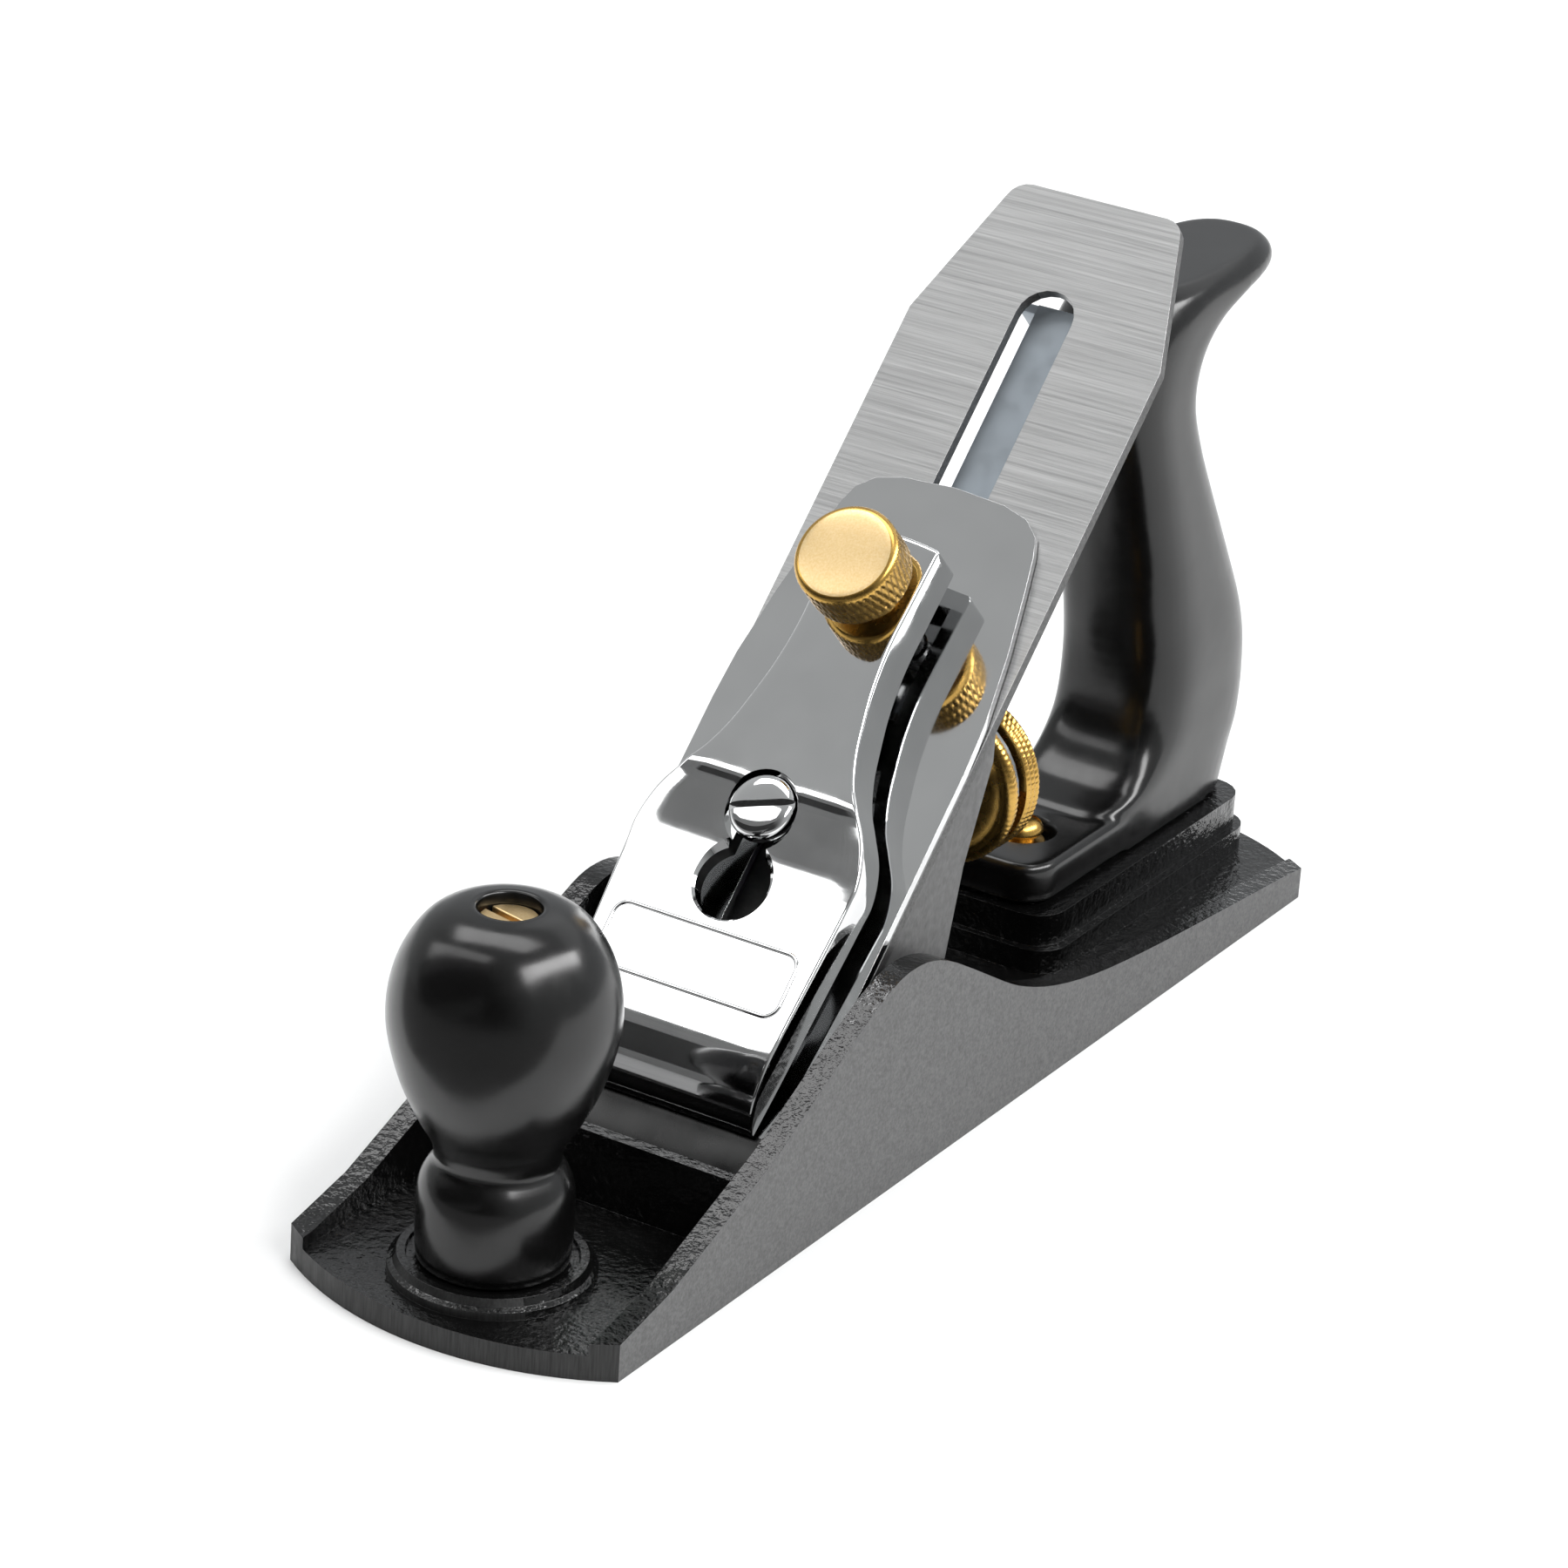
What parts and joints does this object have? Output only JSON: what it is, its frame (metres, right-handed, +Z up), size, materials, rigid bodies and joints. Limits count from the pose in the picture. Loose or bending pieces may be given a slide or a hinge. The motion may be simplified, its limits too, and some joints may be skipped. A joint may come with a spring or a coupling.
{
  "type": "hand plane",
  "caption": "Metal bench plane: iron body with black knob and rear tote, 45 degree frog, cutting iron with cap iron, lever cap with brass thumbscrew, depth and lateral adjusters.",
  "frame": {"origin": "centre of the bounding box at the sole, which lies on z = 0", "axes": "+Z up from the sole, +Y towards the heel and the tote, +X towards the plane's left side when it is pushed forwards, toe at -Y"},
  "size_m": [0.0636, 0.251, 0.14],
  "materials": {
    "enamel_iron": "ground sole and flanks, black enamel inside",
    "black_gloss": "moulded, glossy black",
    "frog_paint": "light grey paint over a casting",
    "steel": "brushed across the width",
    "bright_steel": "turned bright steel",
    "zinc_steel": "zinc plated pressing",
    "chrome": "mirror chrome plating",
    "brass": "turned and knurled, satin face"
  },
  "bodies": {
    "body": {"body_casting": "enamel_iron", "front_knob": "black_gloss", "knob_rod": "bright_steel", "knob_nut": "brass", "tote": "black_gloss", "tote_rod": "bright_steel", "tote_nut": "brass", "tote_toe_screw": "brass", "frog_screw_left": "bright_steel", "frog_screw_right": "bright_steel", "frog_washer_left": "zinc_steel", "frog_washer_right": "zinc_steel"},
    "frog": {"frog": "frog_paint", "depth_stud": "bright_steel", "yoke_pin": "bright_steel", "lateral_pin": "bright_steel", "lever_cap_screw": "chrome"},
    "wheel_bush": {"wheel_bush": "brass"},
    "depth_wheel": {"depth_wheel": "brass"},
    "depth_yoke": {"depth_yoke": "zinc_steel"},
    "iron_carrier": {"cap_iron_screw": "bright_steel"},
    "iron": {"blade": "steel", "cap_iron": "chrome"},
    "lateral_lever": {"lateral_lever": "zinc_steel", "lateral_disc": "bright_steel"},
    "lever_cap": {"lever_cap": "chrome"},
    "thumb_stud": {"thumbscrew_stud": "bright_steel"},
    "thumbscrew": {"thumbscrew_head": "brass"}
  },
  "joints": [
    {"name": "frog_slide", "type": "slide", "parent": "body", "child": "frog", "axis": [0, 1, 0], "range_m": [-0.0008, 0.0008]},
    {"name": "wheel_spin", "type": "hinge", "parent": "wheel_bush", "child": "depth_wheel", "pos_m": [0, 0.0296, 0.0431], "axis": [0, -1, 0], "range_deg": [-360, 360]},
    {"name": "wheel_travel", "type": "slide", "parent": "frog", "child": "wheel_bush", "axis": [0, 1, 0], "range_m": [-0.00105, 0.00105]},
    {"name": "yoke_rock", "type": "hinge", "parent": "frog", "child": "depth_yoke", "pos_m": [0, 0.0135, 0.0665], "axis": [1, 0, 0], "range_deg": [-2.6, 2.6]},
    {"name": "iron_feed", "type": "slide", "parent": "frog", "child": "iron_carrier", "axis": [0, -0.7071, -0.7071], "range_m": [-0.0006, 0.0006]},
    {"name": "lateral_swing", "type": "hinge", "parent": "frog", "child": "lateral_lever", "pos_m": [0, 0.02465, 0.08697], "axis": [0, -0.7071, 0.7071], "range_deg": [-2.2, 2.2]},
    {"name": "iron_skew", "type": "hinge", "parent": "iron_carrier", "child": "iron", "pos_m": [0, -0.00576, 0.06364], "axis": [0, -0.7071, 0.7071], "range_deg": [-0.75, 0.75]},
    {"name": "lever_cap_slide", "type": "slide", "parent": "frog", "child": "lever_cap", "axis": [0, 0.7071, 0.7071], "range_m": [0, 0.0135]},
    {"name": "thumb_turn", "type": "hinge", "parent": "thumb_stud", "child": "thumbscrew", "pos_m": [0, 0.01015, 0.07955], "axis": [0, -0.7071, 0.7071], "range_deg": [-61, 721]},
    {"name": "thumb_travel", "type": "slide", "parent": "lever_cap", "child": "thumb_stud", "axis": [0, -0.7071, 0.7071], "range_m": [-0.00017, 0.002]}
  ],
  "couplings": [
    {"joint": "wheel_travel", "follows": "wheel_spin", "m_per_rad": 0.00015915},
    {"joint": "yoke_rock", "follows": "wheel_spin", "ratio": 0.0068015},
    {"joint": "iron_feed", "follows": "wheel_spin", "m_per_rad": 0.000086379},
    {"joint": "iron_skew", "follows": "lateral_swing", "ratio": -0.31034},
    {"joint": "thumb_turn", "follows": "thumb_travel", "rad_per_m": 6283.2}
  ]
}
